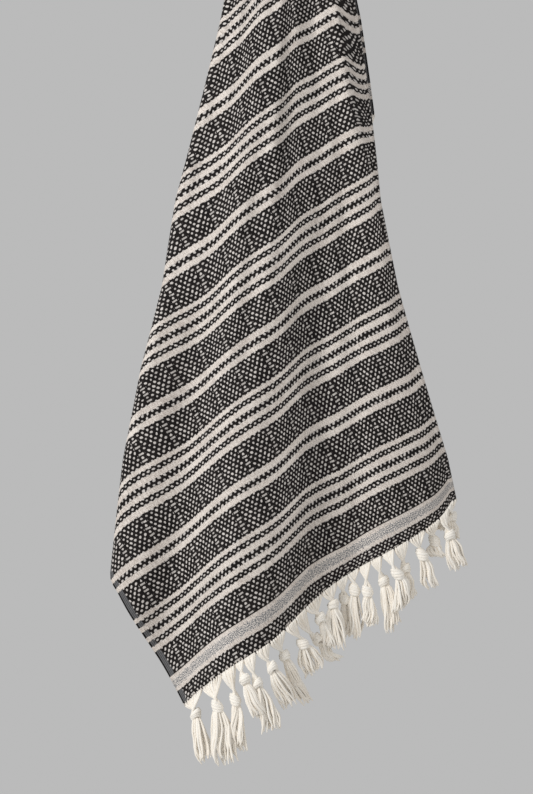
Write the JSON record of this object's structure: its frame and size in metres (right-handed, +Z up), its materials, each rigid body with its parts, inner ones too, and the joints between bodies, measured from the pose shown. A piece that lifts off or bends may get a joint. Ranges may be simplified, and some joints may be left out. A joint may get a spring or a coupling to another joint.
{
  "type": "hammam towel",
  "caption": "Striped flat-woven hammam towel hanging from one point of its selvedge in soft layered folds, with knotted fringes at both ends.",
  "frame": {"origin": "the point of the selvedge that the towel hangs from", "axes": "+Z up, +X to the right of the wide front face seen from the front, -Y out of that face"},
  "size_m": [0.5055, 0.1635, 1.5584],
  "materials": {
    "striped_weave": "matt cotton weave in black with cream stripes and small cream figures",
    "fringe_yarn": "matt soft-spun cream cotton yarn"
  },
  "bodies": {
    "root": {"cloth": "striped_weave", "fringe_near": "fringe_yarn", "fringe_far": "fringe_yarn"}
  },
  "joints": []
}
